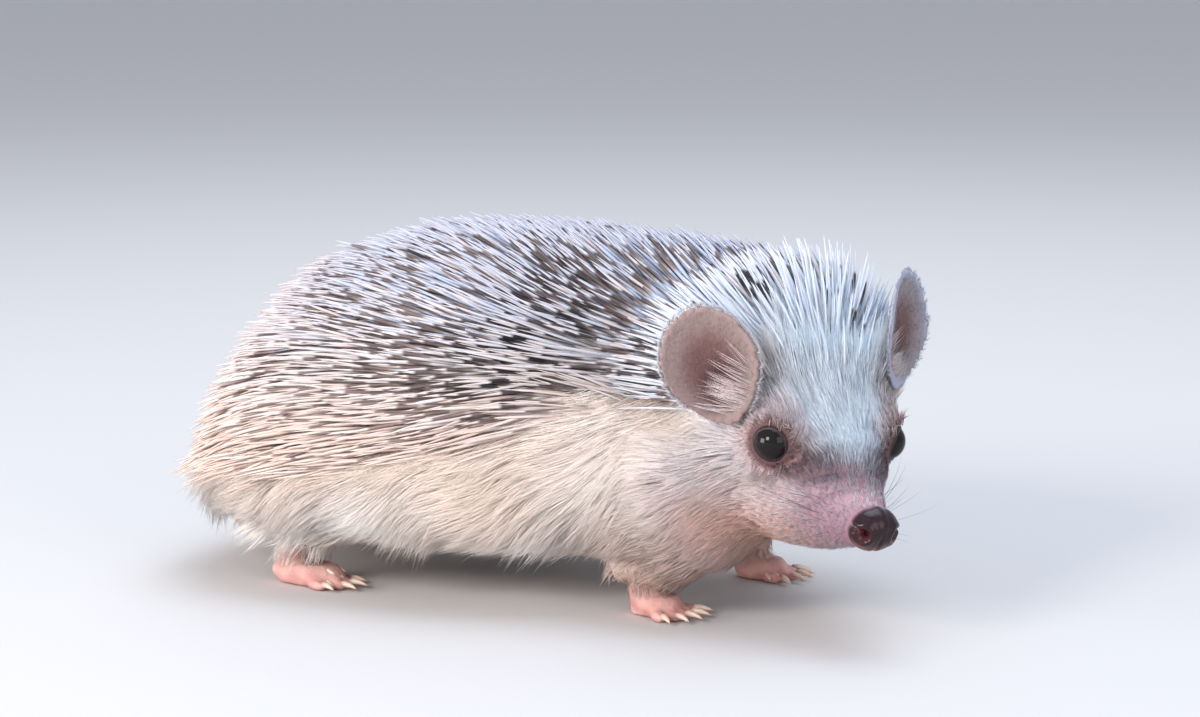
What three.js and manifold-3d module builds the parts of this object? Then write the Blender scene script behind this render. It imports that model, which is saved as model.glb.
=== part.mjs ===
// A four-toed (African pygmy) hedgehog, life size, standing low on all fours with its head turned to its
// right. Millimetres, +Z up, +X towards the head end of the trunk, +Y to the animal's left. The surfaces
// are those of the coat: the tips of the quills on the back and crown, and of the fur elsewhere.
import * as THREE from "three";
import { mergeVertices } from "three/addons/utils/BufferGeometryUtils.js";
import Module from "manifold-3d";

const wasm = await Module();
wasm.setup();

// ---- Driving dimensions -------------------------------------------------------------------------------
const TRUNK_LENGTH = 125; // rump to the middle of the neck
const TRUNK_HALF_WIDTH = 44;
const BACK_HEIGHT = 77.5; // floor to the quill tips
const BELLY_HEIGHT = 6.5; // floor to the belly fur
const HEAD_TURN = -43; // degrees, to the right of the trunk
const HEAD_NOD = 31; // degrees, nose down
const HEAD_ROLL = -5; // degrees, left side down
const EYES_FROM_NECK = 35; // along the head, seen from above
const EYE_HEIGHT = 38;
const EYE_RADIUS = 3.7;
const EYE_HALF_SPACING = 12.7;
const CUT = 0.32; // the gap that parts neighbouring pieces

// ---- Helpers ------------------------------------------------------------------------------------------
const rad = THREE.MathUtils.degToRad;
const vec = (x, y, z) => new THREE.Vector3(x, y, z);

// A closed geometry as a solid that can be joined and cut.
function solid(geometry) {
  const bare = geometry.clone();
  bare.deleteAttribute("normal");
  bare.deleteAttribute("uv");
  const merged = mergeVertices(bare, 1e-4);
  return new wasm.Manifold(
    new wasm.Mesh({
      numProp: 3,
      vertProperties: merged.attributes.position.array,
      triVerts: new Uint32Array(merged.index.array),
    }),
  );
}

// A solid as a named mesh of the model.
function piece(name, made, material) {
  const { vertProperties, triVerts, numProp } = made.getMesh();
  const position = new Float32Array((vertProperties.length / numProp) * 3);
  for (let i = 0; i < position.length / 3; i++)
    position.set(vertProperties.subarray(i * numProp, i * numProp + 3), i * 3);
  const geometry = new THREE.BufferGeometry();
  geometry.setAttribute("position", new THREE.BufferAttribute(position, 3));
  geometry.setIndex(new THREE.BufferAttribute(triVerts, 1));
  geometry.computeVertexNormals();
  const mesh = new THREE.Mesh(geometry, material);
  mesh.name = name;
  return mesh;
}

// A frame with x along the piece, y to its left and z up, turned left, nodded down and rolled right.
function frameAt(origin, turn = 0, nod = 0, roll = 0) {
  const angles = new THREE.Euler(rad(roll), rad(nod), rad(turn), "ZYX");
  return new THREE.Matrix4().makeRotationFromEuler(angles).setPosition(origin);
}

const power = (value, exponent) => Math.sign(value) * Math.abs(value) ** exponent;

// A closed body drawn through sections. Each section has a middle, a turn, a nod, a half width, a rise
// above the middle, a drop below it, and a fullness, which is 2 for an ellipse and more for a boxier
// underside. The first and last sections are points.
function loft(sections, along, around, grow = 0) {
  const curve = (pick) =>
    new THREE.CatmullRomCurve3(sections.map(pick), false, "catmullrom", 0.5);
  const middles = curve((s) => s.at);
  const spans = curve((s) => vec(s.half, s.rise, s.drop));
  const angles = curve((s) => vec(s.turn ?? 0, s.nod ?? 0, s.roll ?? 0));
  const fullness = curve((s) => vec(s.full ?? 2, 0, 0));
  const geometry = new THREE.SphereGeometry(1, around, along);
  const { position, uv } = geometry.attributes;
  for (let i = 0; i < position.count; i++) {
    const t = uv.getY(i);
    const span = spans.getPoint(t);
    const angle = angles.getPoint(t);
    const round = Math.sin(Math.PI * t) > 1e-6 ? grow : 0;
    const left = -Math.sin(2 * Math.PI * uv.getX(i));
    const up = -Math.cos(2 * Math.PI * uv.getX(i));
    const bend = up > 0 ? 1 : 2 / fullness.getPoint(t).x;
    const reach = up > 0 ? span.y : span.z;
    const place = vec(
      0,
      (Math.max(span.x, 0) + round) * power(left, bend),
      (Math.max(reach, 0) + round) * power(up, bend),
    );
    place.applyMatrix4(frameAt(middles.getPoint(t), angle.x, angle.y, angle.z));
    position.setXYZ(i, place.x, place.y, place.z);
  }
  return solid(geometry);
}

// A box between two corners, in a frame.
function block(low, high, frame = new THREE.Matrix4()) {
  const size = high.clone().sub(low);
  const middle = high.clone().add(low).multiplyScalar(0.5);
  const geometry = new THREE.BoxGeometry(size.x, size.y, size.z);
  geometry.translate(middle.x, middle.y, middle.z).applyMatrix4(frame);
  return solid(geometry);
}

// An egg: a sphere stretched to three half sizes, in a frame.
function egg(half, around, along, frame) {
  const geometry = new THREE.SphereGeometry(1, around, along);
  geometry.rotateZ(-Math.PI / 2).scale(half.x, half.y, half.z);
  return solid(geometry.applyMatrix4(frame));
}

// ---- The body, from muzzle to rump --------------------------------------------------------------------
const FACING = vec(Math.cos(rad(HEAD_TURN)), Math.sin(rad(HEAD_TURN)), 0);
const BETWEEN_EYES = FACING.clone().multiplyScalar(EYES_FROM_NECK).setZ(EYE_HEIGHT);
const HEAD = frameAt(BETWEEN_EYES, HEAD_TURN, HEAD_NOD, HEAD_ROLL);

// A place on the head: ahead of the eyes, left of the middle, above the eye line.
const onHead = (ahead, left, above) => vec(ahead, left, above).applyMatrix4(HEAD);
const headFrame = (ahead, left, above) => HEAD.clone().setPosition(onHead(ahead, left, above));

// A section of the head, square to its axis: distance ahead of the eyes, half width, and the heights of
// its top, widest place and underside above the eye line.
const headSection = (ahead, half, top, widest, under) => ({
  at: onHead(ahead, 0, widest),
  turn: HEAD_TURN,
  nod: HEAD_NOD,
  roll: HEAD_ROLL,
  half,
  rise: top - widest,
  drop: widest - under,
  full: 3,
});
// A section of the trunk, upright across +X: its place, half width, and the heights of its top, its
// widest place and its underside above the floor.
const trunkSection = (x, half, top, widest, under) => ({
  at: vec(x, 0, widest),
  half,
  rise: top - widest,
  drop: widest - under,
  full: 2.6,
});

const W = TRUNK_HALF_WIDTH;
const H = BACK_HEIGHT;
const B = BELLY_HEIGHT;
const bodySections = [
  headSection(22.8, 0, -2.6, -2.6, -2.6), // inside the nose pad
  headSection(20.8, 4, 1.2, -2.6, -7.6),
  headSection(16.5, 6, 2.8, -4, -12.4), // behind the nose pad
  headSection(10, 9, 5, -6.5, -17.6), // middle of the snout
  headSection(3, 13.6, 8.2, -6, -22), // in front of the eyes
  headSection(-5, 18, 13.5, -6, -25), // brow
  headSection(-14, 22, 18.5, -5, -26.5), // ears
  headSection(-24, 24.5, 21.5, -2, -26), // back of the head
  { at: vec(-1, -1, 42), turn: HEAD_TURN * 0.6, nod: 10, roll: 0, half: 29, rise: 32, drop: 34, full: 2.2 },
  trunkSection(-20, 36, H - 1, 35, 7.5), // shoulders
  trunkSection(-45, 43, H, 30, B), // ribs
  trunkSection(-71, W, H - 2, 28, B), // loins
  trunkSection(-94, 41, H - 10, 27, B), // hips
  trunkSection(-111, 31.5, H - 26, 26, B + 1), // croup
  trunkSection(-121, 17, H - 43, 24, B + 6), // rump
  trunkSection(-TRUNK_LENGTH, 0, 24, 24, 24),
];
// The fold of the turned neck is filled by the shoulder and its fur.
const fold = (grow) => egg(vec(27, 20, 20.5).addScalar(grow), 18, 12, frameAt(vec(-13, -18, 26.5), -10));
const body = (grow) => loft(bodySections, 41, 28, grow).add(fold(grow));
const wholeBody = body(0);
const clearOfBody = body(CUT).add(wholeBody);

// Blocks that part the head, neck and trunk, and the jaw from the head.
const FAR = 200;
const behind = (frame, step) => block(vec(-FAR, -FAR, -FAR), vec(-step, FAR, FAR), frame);
const skullEnd = frameAt(onHead(-27, 0, 0), HEAD_TURN * 0.85, 18);
const neckEnd = frameAt(vec(-18, 0, 40), 12);
const mouth = headFrame(1, 0, -12.6);
const underMouth = (step) => block(vec(0, -FAR, -FAR), vec(FAR, FAR, -step), mouth);

// ---- Head: eyes, nose pad, ears -----------------------------------------------------------------------
const sides = { left: 1, right: -1 };
const eyeBall = (side, grow) =>
  egg(
    vec(1, 1, 1).multiplyScalar(EYE_RADIUS + grow),
    14,
    9,
    frameAt(onHead(-0.4, side * EYE_HALF_SPACING, 0.8)),
  );

const NOSE_HALF = vec(4.2, 5.1, 4.5);
const nosePad = (grow) => egg(NOSE_HALF.clone().addScalar(grow), 14, 10, headFrame(22.2, 0, -1.6));

// An ear is a thin round leaf, cupped forwards and outwards, on a narrower foot that is set in the fur.
const EAR_HEIGHT = 24;
const EAR_HALF_WIDTH = 9.8;
const EAR_HALF_THICK = 0.65;
const EAR_SUNK = 0.42; // middle of the leaf above its foot, as a share of its height
function earLeaf(foot, lean, turn, grow = 0) {
  const geometry = new THREE.SphereGeometry(1, 18, 12);
  const { position } = geometry.attributes;
  for (let i = 0; i < position.count; i++) {
    const across = position.getX(i);
    const high = position.getY(i);
    const narrow = 1 - 0.35 * Math.max(0, -high) ** 1.5;
    const y = across * (EAR_HALF_WIDTH * narrow + grow);
    const z = high * (EAR_HEIGHT / 2 + grow);
    const cup = 0.03 * y * y + 0.01 * z * z;
    position.setXYZ(i, position.getZ(i) * (EAR_HALF_THICK + grow) + cup, y, z);
  }
  geometry.translate(0, 0, EAR_HEIGHT * EAR_SUNK);
  return solid(geometry.applyMatrix4(frameAt(foot, HEAD_TURN + turn, 0, lean)));
}
const earFeet = { left: onHead(-12, 16.8, 6.6), right: onHead(-8, -18.8, 1.4) };
const earLeans = { left: -14, right: 22 };
const earTurns = { left: 40, right: -36 };
const ear = (name, grow) => earLeaf(earFeet[name], earLeans[name], earTurns[name], grow);

// ---- Legs and tail ------------------------------------------------------------------------------------
// A foot rests flat on its sole: a palm and its toes, each toe ending in a claw.
const CLAW_LENGTH = 3.4;
const FLOOR = block(vec(-FAR, -FAR, -FAR), vec(FAR, FAR, 0));
function foot({ at, turn, palm, toes, toeLength, spread }) {
  const frame = frameAt(at, turn);
  const parts = [egg(palm, 12, 7, frame.clone().multiply(frameAt(vec(0, 0, palm.z * 0.62))))];
  for (let i = 0; i < toes; i++) {
    const share = toes === 1 ? 0 : (2 * i) / (toes - 1) - 1;
    const angle = share * spread;
    const root = frameAt(vec(palm.x * (0.72 - 0.34 * share * share), share * palm.y * 0.78, 0), angle);
    const toe = vec(toeLength / 2, 1.5, 1.5);
    const place = frame.clone().multiply(root);
    parts.push(egg(toe, 6, 5, place.clone().multiply(frameAt(vec(toe.x * 0.6, 0, 1)))));
    const claw = new THREE.CylinderGeometry(0.25, 0.75, CLAW_LENGTH, 5);
    claw.rotateZ(-Math.PI / 2).translate(CLAW_LENGTH / 2, 0, 0);
    const clawRoot = frameAt(vec(toeLength * 0.72, 0, 1.5), 0, 14);
    parts.push(solid(claw.applyMatrix4(place.clone().multiply(clawRoot))));
  }
  return wasm.Manifold.union(parts).subtract(FLOOR);
}
const FORE_PALM = vec(6, 4.8, 3.6);
const HIND_PALM = vec(9.5, 4.6, 3.8);
const feet = {
  front_left: { at: vec(-5, 19, 0), turn: 4, palm: FORE_PALM, toes: 5, toeLength: 5.4, spread: 26 },
  front_right: { at: vec(-12, -21, 0), turn: -16, palm: FORE_PALM, toes: 5, toeLength: 5.4, spread: 26 },
  hind_left: { at: vec(-96, 24, 0), turn: 10, palm: HIND_PALM, toes: 4, toeLength: 6, spread: 14 },
  hind_right: { at: vec(-90, -25, 0), turn: -10, palm: HIND_PALM, toes: 4, toeLength: 6, spread: 14 },
};
// A lower leg goes up from its foot into the fur of the body.
const LEG_TOP = 26;
function leg({ at, palm }) {
  const thick = palm.y;
  const upright = (x, z, half, rise) => ({
    at: at.clone().add(vec(x, 0, z)),
    nod: 90,
    half,
    rise,
    drop: rise,
  });
  return loft(
    [
      upright(-palm.x * 0.4, -2, 0, 0),
      upright(-palm.x * 0.4, -1, thick * 0.5, thick * 0.6),
      upright(-palm.x * 0.35, LEG_TOP * 0.3, thick * 0.85, thick * 0.9),
      upright(0, LEG_TOP * 0.7, thick * 1.3, thick * 1.5),
      upright(0, LEG_TOP, 0, 0),
    ],
    7,
    12,
  );
}
// The tail is a short taper under the rump.
const tail = loft(
  [
    { at: vec(-103, 0, 14), nod: -30, half: 0, rise: 0, drop: 0 },
    { at: vec(-105, 0, 13), nod: -30, half: 3.4, rise: 3.2, drop: 3.2 },
    { at: vec(-114, 0, 8), nod: -20, half: 2.5, rise: 2.3, drop: 2.3 },
    { at: vec(-121, 0, 6), nod: -10, half: 1.5, rise: 1.4, drop: 1.4 },
    { at: vec(-123, 0, 5.7), nod: -10, half: 0, rise: 0, drop: 0 },
  ],
  8,
  10,
);

// ---- Materials ----------------------------------------------------------------------------------------
const paint = (color, roughness, metalness = 0) =>
  new THREE.MeshStandardMaterial({ color, roughness, metalness });
const quilled = paint("#d5d3d6", 0.7);
const furred = paint("#ddd0c8", 0.9);
const faceFur = paint("#cfbec2", 0.85);
const bareSkin = paint("#b08b8a", 0.6);
const bareEar = paint("#8c706c", 0.6);
const wetNose = paint("#45323a", 0.25);
const darkEye = paint("#0c0b0d", 0.05);

// ---- The model ----------------------------------------------------------------------------------------
const model = new THREE.Group();
const add = (name, made, material) => model.add(piece(name, made, material));

const front = wholeBody.subtract(behind(neckEnd, -CUT / 2));
let headSolid = front.subtract(behind(skullEnd, -CUT / 2)).subtract(fold(CUT)).subtract(nosePad(CUT));
for (const [name, side] of Object.entries(sides)) {
  headSolid = headSolid.subtract(eyeBall(side, CUT)).subtract(ear(name, CUT));
  add(`eye_${name}`, eyeBall(side, 0), darkEye);
}
const jaw = headSolid.intersect(underMouth(CUT / 2));
add("head", headSolid.subtract(underMouth(-CUT / 2)), faceFur);
add("jaw", jaw, bareSkin);
add("nose", nosePad(0), wetNose);

let neckSolid = front.intersect(behind(skullEnd, CUT / 2).add(fold(0)));
for (const name of Object.keys(sides)) {
  neckSolid = neckSolid.subtract(ear(name, CUT));
  add(`ear_${name}`, ear(name, 0), bareEar);
}
add("neck", neckSolid, quilled);
add("trunk", wholeBody.intersect(behind(neckEnd, CUT / 2)), furred);
add("tail", tail.subtract(clearOfBody), bareSkin);

for (const [name, shape] of Object.entries(feet)) {
  const ankle = block(vec(-FAR, -FAR, -FAR), vec(FAR, FAR, shape.palm.z * 1.35));
  const whole = leg(shape).subtract(clearOfBody);
  add(`leg_${name}`, whole.subtract(ankle), bareSkin);
  const sole = block(vec(-FAR, -FAR, -FAR), vec(FAR, FAR, shape.palm.z * 1.35 - CUT));
  add(`foot_${name}`, foot(shape).add(whole).intersect(sole).subtract(FLOOR), bareSkin);
}

// The origin is on the floor at the middle of the footprint.
const extent = new THREE.Box3().setFromObject(model);
model.position.set(-(extent.min.x + extent.max.x) / 2, -(extent.min.y + extent.max.y) / 2, 0);
export default model;
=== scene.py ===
import math
import bmesh
import bpy
import numpy as np
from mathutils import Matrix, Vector
from mathutils.kdtree import KDTree


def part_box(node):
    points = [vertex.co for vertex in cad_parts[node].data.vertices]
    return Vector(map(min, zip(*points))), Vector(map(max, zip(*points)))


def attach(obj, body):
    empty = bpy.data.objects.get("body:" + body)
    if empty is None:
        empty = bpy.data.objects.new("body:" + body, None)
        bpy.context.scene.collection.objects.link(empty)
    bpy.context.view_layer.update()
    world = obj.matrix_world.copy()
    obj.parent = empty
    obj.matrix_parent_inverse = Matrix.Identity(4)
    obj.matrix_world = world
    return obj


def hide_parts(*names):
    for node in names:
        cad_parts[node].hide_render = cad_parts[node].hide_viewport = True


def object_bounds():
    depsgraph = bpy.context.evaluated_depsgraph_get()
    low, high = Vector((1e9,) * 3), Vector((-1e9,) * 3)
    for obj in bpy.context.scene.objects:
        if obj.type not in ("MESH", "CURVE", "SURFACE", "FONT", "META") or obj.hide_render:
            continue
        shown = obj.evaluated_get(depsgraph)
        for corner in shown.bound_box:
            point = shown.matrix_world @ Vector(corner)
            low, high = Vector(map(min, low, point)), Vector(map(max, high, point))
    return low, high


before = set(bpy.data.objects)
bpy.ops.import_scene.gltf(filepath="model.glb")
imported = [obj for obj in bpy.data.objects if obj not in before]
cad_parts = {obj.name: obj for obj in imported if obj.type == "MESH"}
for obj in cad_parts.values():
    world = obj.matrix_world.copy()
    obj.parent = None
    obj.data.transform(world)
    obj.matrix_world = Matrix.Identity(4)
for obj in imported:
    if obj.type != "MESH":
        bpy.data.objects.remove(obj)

bounds_at_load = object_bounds()
MM = 0.001

# ---- Skin ----
# The hedgehog's skin is loose and pink-grey, thick under the quills and thin on the face. It runs unbroken
# from the nose pad over the body to the toes, and lies under the coat by the coat's depth.
FEET = ("front_left", "front_right", "hind_left", "hind_right")
TORSO = ["trunk", "neck", "head", "jaw", "tail"]
LEGS_AND_FEET = [f"{part}_{foot}" for part in ("leg", "foot") for foot in FEET]
SIDES = (("left", 1), ("right", -1))
SKIN_SWELL = 0.22
QUILL_COAT, SKIRT_COAT, FOREHEAD_COAT, CHEEK_COAT, SNOUT_COAT = 5.4, 3.4, 2.4, 1.7, 0.35
SOCKET_RISE, SOCKET_REACH = 1.5, 3.9


def middle_of(node):
    low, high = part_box(node)
    return np.array((low + high) / 2) / MM


def unit(v):
    v = np.asarray(v, float)
    return v / np.maximum(np.linalg.norm(v, axis=-1, keepdims=True), 1e-9)


# The trunk lies along X. The head has a frame of its own, set by the two eyes and the nose pad: ahead
# along the snout, left across the eyes, and up. Places on the head below are in millimetres in it.
EYES = {side: middle_of(f"eye_{side}") for side, _ in SIDES}
NOSE = middle_of("nose")
NOSE_BELOW_AXIS = math.radians(6.06)
between_eyes = (EYES["left"] + EYES["right"]) / 2
head_left = unit(EYES["left"] - EYES["right"])
to_nose = unit(NOSE - between_eyes)
head_up = unit(np.cross(to_nose, head_left))
head_ahead = math.cos(NOSE_BELOW_AXIS) * to_nose + math.sin(NOSE_BELOW_AXIS) * head_up
head_up = np.cross(head_ahead, head_left)
HEAD = np.array([head_ahead, head_left, head_up])
HEAD_ORIGIN = between_eyes - HEAD.T @ np.array([-0.4, 0, 0.8])


def to_head(points):
    return (points - HEAD_ORIGIN) @ HEAD.T


def from_head(places):
    return np.asarray(places, float) @ HEAD + HEAD_ORIGIN


def both_sides(places):
    """Places with the left and the right laid together, for what the two sides share."""
    return np.column_stack([places[:, 0], np.abs(places[:, 1]), places[:, 2]])


def on_head(points):
    """How far places are ahead of the eyes, off the middle and above the eyes, and how far away in all."""
    h = to_head(points)
    return h[:, 0], np.abs(h[:, 1]), h[:, 2], np.linalg.norm(h, axis=1)


def gaze_of(sign):
    """The way an eye looks: outwards, ahead and a little up."""
    return unit(np.array([0.62, sign * 0.74, 0.2])) @ HEAD


def off_eye(points, side, sign):
    """An eye's gaze, how far along it places are from the eye's middle, and the way they are off it."""
    gaze = gaze_of(sign)
    beside = points - EYES[side]
    above = beside @ gaze
    return gaze, above, beside - above[:, None] * gaze


def fade(value, start, end):
    """0 before start, 1 after end, smooth between; start may be the larger."""
    share = np.clip((value - start) / (end - start), 0, 1)
    return share * share * (3 - 2 * share)


def near(points, centre, radius):
    """1 at the centre, falling smoothly to 0 at the radius."""
    return 1 - fade(np.linalg.norm(points - np.asarray(centre, float), axis=-1), 0, radius)


def mix(a, b, share):
    share = np.asarray(share, float)[..., None]
    return np.asarray(a, float) * (1 - share) + np.asarray(b, float) * share


def tone(red, green, blue):
    """A colour written as it looks, 0 to 255, as the light it reflects."""
    c = np.array([red, green, blue], float) / 255
    return np.where(c <= 0.04045, c / 12.92, ((c + 0.055) / 1.055) ** 2.4)


def layered(colour, **layers):
    """A colour with others laid over it in turn: each has its place for a name, its tone and its share."""
    for shade, share in layers.values():
        colour = mix(colour, tone(*shade), share)
    return colour


def quilled(points):
    """1 where quills grow: the back above the skirt, and the crown behind the forehead."""
    ahead, aside, _, _ = on_head(points)
    x, _, z = points.T
    border = np.clip(37 + 0.22 * x + 0.35 * np.maximum(x - 8, 0), 29.5, 46)
    brow = -5.5 - 0.033 * np.minimum(aside, 19) ** 2
    return fade(z, border - 5, border + 4) * fade(ahead, brow + 1.5, brow - 1.5)


def faceness(points):
    """1 on the face and snout, 0 from the back of the ears on."""
    ahead, _, _, away = on_head(points)
    return fade(ahead, -19, -8) * fade(away, 42, 34)


def ruffle(points, scale, seed):
    """Smooth seeded waves over the coat, about -1 to 1, a given number of millimetres long."""
    rng = np.random.default_rng(seed)
    ways = unit(rng.normal(0, 1, (9, 3))) * (2 * math.pi / scale) * rng.uniform(0.7, 1.4, (9, 1))
    return np.sin(points @ ways.T + rng.uniform(0, 6.28, 9)).sum(1) / 3


class Shade:
    """A value in a material's node tree. Arithmetic on it makes Math nodes."""

    def __init__(self, tree, socket):
        self.tree = tree
        self.socket = socket

    def make(self, kind, inputs=(), out=0, **settings):
        """Any node: its settings first, then its sockets' values or links."""
        node = self.tree.nodes.new(kind)
        for key, value in settings.items():
            setattr(node, key, value)
        for key, value in dict(inputs).items():
            self.feed(node.inputs[key], value)
        return Shade(self.tree, node.outputs[out])

    def feed(self, target, value):
        """Joins a Shade to one socket, or sets a plain value on it."""
        if isinstance(value, Shade):
            self.tree.links.new(value.socket, target)
        else:
            target.default_value = value

    def math(self, operation, *values):
        return self.make("ShaderNodeMath", dict(enumerate(values)), operation=operation)

    def __add__(self, other):
        return self.math("ADD", self, other)

    def __mul__(self, other):
        return self.math("MULTIPLY", self, other)

    __radd__ = __add__
    __rmul__ = __mul__


def material(name, roughness=0.6, specular=0.4, subsurface=0.0, coat=0.0, sheen=0.0):
    """A new material: its Principled node, and a Shade to start expressions from."""
    made = bpy.data.materials.new(name)
    made.use_nodes = True
    surface = made.node_tree.nodes["Principled BSDF"]
    for socket, value in (
        ("Roughness", roughness), ("Specular IOR Level", specular), ("Coat Weight", coat),
        ("Coat Roughness", 0.08), ("Sheen Weight", sheen), ("Subsurface Weight", subsurface),
        ("Subsurface Radius", (1.0, 0.35, 0.2)), ("Subsurface Scale", 0.8 * MM),
    ):
        surface.inputs[socket].default_value = value
    return made, surface, Shade(made.node_tree, None)


def painted(name, grain=0, depth=0, **looks):
    """A material that takes its colour from the mesh's own tint, with a fine grain of some depth."""
    made, surface, start = material(name, **looks)
    start.feed(surface.inputs["Base Color"], start.make("ShaderNodeAttribute", attribute_name="tint"))
    if depth:
        place = start.make("ShaderNodeTexCoord", out="Object")
        fine = start.make("ShaderNodeTexNoise", {"Vector": place, "Scale": grain, "Detail": 3.0})
        coarse = start.make("ShaderNodeTexNoise", {"Vector": place, "Scale": grain / 5, "Detail": 2.0})
        height = {"Height": fine + coarse * 1.5, "Strength": 0.6, "Distance": depth * MM}
        start.feed(surface.inputs["Normal"], start.make("ShaderNodeBump", height))
    return made


def finish_piece(obj, slot, *nodes):
    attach(obj, "root")
    if nodes:
        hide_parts(*nodes)
    return obj


def set_tint(mesh, colours):
    """Stores one colour per vertex as the mesh's tint."""
    layer = mesh.color_attributes.new("tint", "FLOAT_COLOR", "POINT")
    store(layer.data, "color", np.column_stack([colours, np.ones(len(colours))]))


def mesh_of(name, made):
    """Turns a finished bmesh into a mesh."""
    mesh = bpy.data.meshes.new(name)
    made.to_mesh(mesh)
    made.free()
    return mesh


def in_scene(name, data):
    obj = bpy.data.objects.new(name, data)
    bpy.context.scene.collection.objects.link(obj)
    return obj


def new_object(mesh, surface):
    """A smooth piece of one material, named as its mesh is."""
    mesh.materials.append(surface)
    store(mesh.polygons, "use_smooth", np.ones(len(mesh.polygons)), bool)
    return in_scene(mesh.name, mesh)


def read(items, what, kind=np.float32):
    found = np.empty(len(items) * 3, kind)
    items.foreach_get(what, found)
    return found.reshape(-1, 3)


def store(items, what, values, kind=np.float32):
    items.foreach_set(what, np.asarray(values).astype(kind).ravel())


def coordinates(mesh):
    return read(mesh.vertices, "co").astype(float) / MM


def normals_of(mesh):
    return read(mesh.vertices, "normal").astype(float)


def place_vertices(mesh, points):
    store(mesh.vertices, "co", points * MM)
    mesh.update()


def soften(made, verts, rounds):
    """Evens out some of a bmesh's vertices."""
    for _ in range(rounds):
        bmesh.ops.smooth_vert(
            made, verts=verts, factor=0.5, use_axis_x=True, use_axis_y=True, use_axis_z=True
        )


def shell_of(name, nodes, swell, voxel, rounds):
    """The nodes' solids swollen a little, run together into one even skin, and smoothed."""
    whole = bmesh.new()
    for node in nodes:
        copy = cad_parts[node].data.copy()
        place_vertices(copy, coordinates(copy) + normals_of(copy) * swell)
        whole.from_mesh(copy)
        bpy.data.meshes.remove(copy)
    bmesh.ops.remove_doubles(whole, verts=whole.verts, dist=0.001 * MM)
    mesh = mesh_of(name, whole)
    obj = in_scene(name, mesh)
    remesh = obj.modifiers.new("even", "REMESH")
    remesh.mode = "VOXEL"
    remesh.voxel_size = voxel * MM
    evaluated = obj.evaluated_get(bpy.context.evaluated_depsgraph_get())
    even = bpy.data.meshes.new_from_object(evaluated)
    bpy.data.objects.remove(obj)
    bpy.data.meshes.remove(mesh)
    made = bmesh.new()
    made.from_mesh(even)
    bpy.data.meshes.remove(even)
    soften(made, made.verts, rounds)
    return made


def leaf_axes(points, sign):
    """The way an ear opens, across it and up it."""
    thin = np.linalg.svd(points - points.mean(0), full_matrices=False)[2][2]
    opening = thin * np.sign(thin @ (head_ahead + 0.4 * sign * head_left))
    up = unit(np.array([0, 0, 1.0]) - opening[2] * opening)
    return np.array([opening, np.cross(up, opening), up])


def leaf_frame(side, sign):
    """An ear's middle, its axes and its half sizes along them."""
    points = coordinates(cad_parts[f"ear_{side}"].data)
    centre = (points.min(0) + points.max(0)) / 2
    axes = leaf_axes(points, sign)
    return centre, axes, np.abs((points - centre) @ axes.T).max(0)


EAR_ROOTS = []
for side, sign in SIDES:
    middle_ear, ear_axes, ear_size = leaf_frame(side, sign)
    EAR_ROOTS.append(middle_ear - ear_axes[2] * ear_size[2] * 0.95)


def limbs(points):
    """1 on the legs and the tail, where the hair is short, and 0 on the body round them."""
    found = np.zeros(len(points))
    for node in [f"leg_{foot}" for foot in FEET] + ["tail"]:
        low, high = (np.array(corner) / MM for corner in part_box(node))
        reach = (high - low)[:2] / 2
        beside = np.maximum(np.abs(points - (low + high) / 2)[:, :2] - reach, 0)
        level_with = fade(points[:, 2], high[2] + 5, high[2] + 1.5)
        found = np.maximum(found, fade(np.linalg.norm(beside, axis=1), 4.5, 0.5) * level_with)
    return found


def coat_depth(points):
    """How far the skin lies below the tips of the coat, in millimetres."""
    ahead, _, above, _ = on_head(points)
    quills = quilled(points)
    skirt = SKIRT_COAT - 1.2 * fade(points[:, 2], 12, 7)
    body = mix(skirt[:, None], QUILL_COAT, quills)[:, 0]
    forehead = FOREHEAD_COAT * fade(ahead, 9, -6) * fade(above, 0, 7)
    cheek = CHEEK_COAT * fade(ahead, 3, -12)
    snout = SNOUT_COAT + np.maximum(forehead, cheek)
    face = faceness(points) * (1 - quills)
    depth = body * (1 - face) + np.minimum(snout, body) * face
    for ear_root in EAR_ROOTS:
        depth = depth * (1 - 0.9 * near(points, ear_root, 10))
    limb = limbs(points)
    return depth * (1 - limb) - 0.7 * limb * (points[:, 0] > -66)


def eye_rim(points, start, end):
    """1 close round an eye's opening, falling to 0 from start to end millimetres off its axis."""
    rim = np.zeros(len(points))
    for side, sign in SIDES:
        _, above, out = off_eye(points, side, sign)
        rim = np.maximum(rim, fade(np.linalg.norm(out, axis=1), end, start) * (above > -3))
    return rim


def mask(points):
    """How dark the mask is, 0 to 1: a band from each eye's front corner to the bridge of the snout."""
    folded = both_sides(to_head(points))
    corner, bridge = np.array([3.2, 12, -0.5]), np.array([12.5, 1, 3.6])
    way = bridge - corner
    along = np.clip((folded - corner) @ way / (way @ way), 0, 1)
    off_band = np.linalg.norm(folded - corner - along[:, None] * way, axis=1)
    band = fade(off_band, 5.6, 1.6) * (1 - 0.4 * along)
    return np.maximum(band, 0.5 * near(folded, (2.5, 13.5, -5.5), 6.5))


def furrows(points):
    """1 in the furrows that run across the sides of the snout, 0 between them."""
    folded = both_sides(to_head(points))
    ahead, aside, above = folded.T
    waves = ahead * 1.7 + 0.5 * aside - 0.5 * above
    return fade(np.sin(waves), 0.2, 0.9) * near(folded, (9.5, 5, 1), 9)


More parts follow.
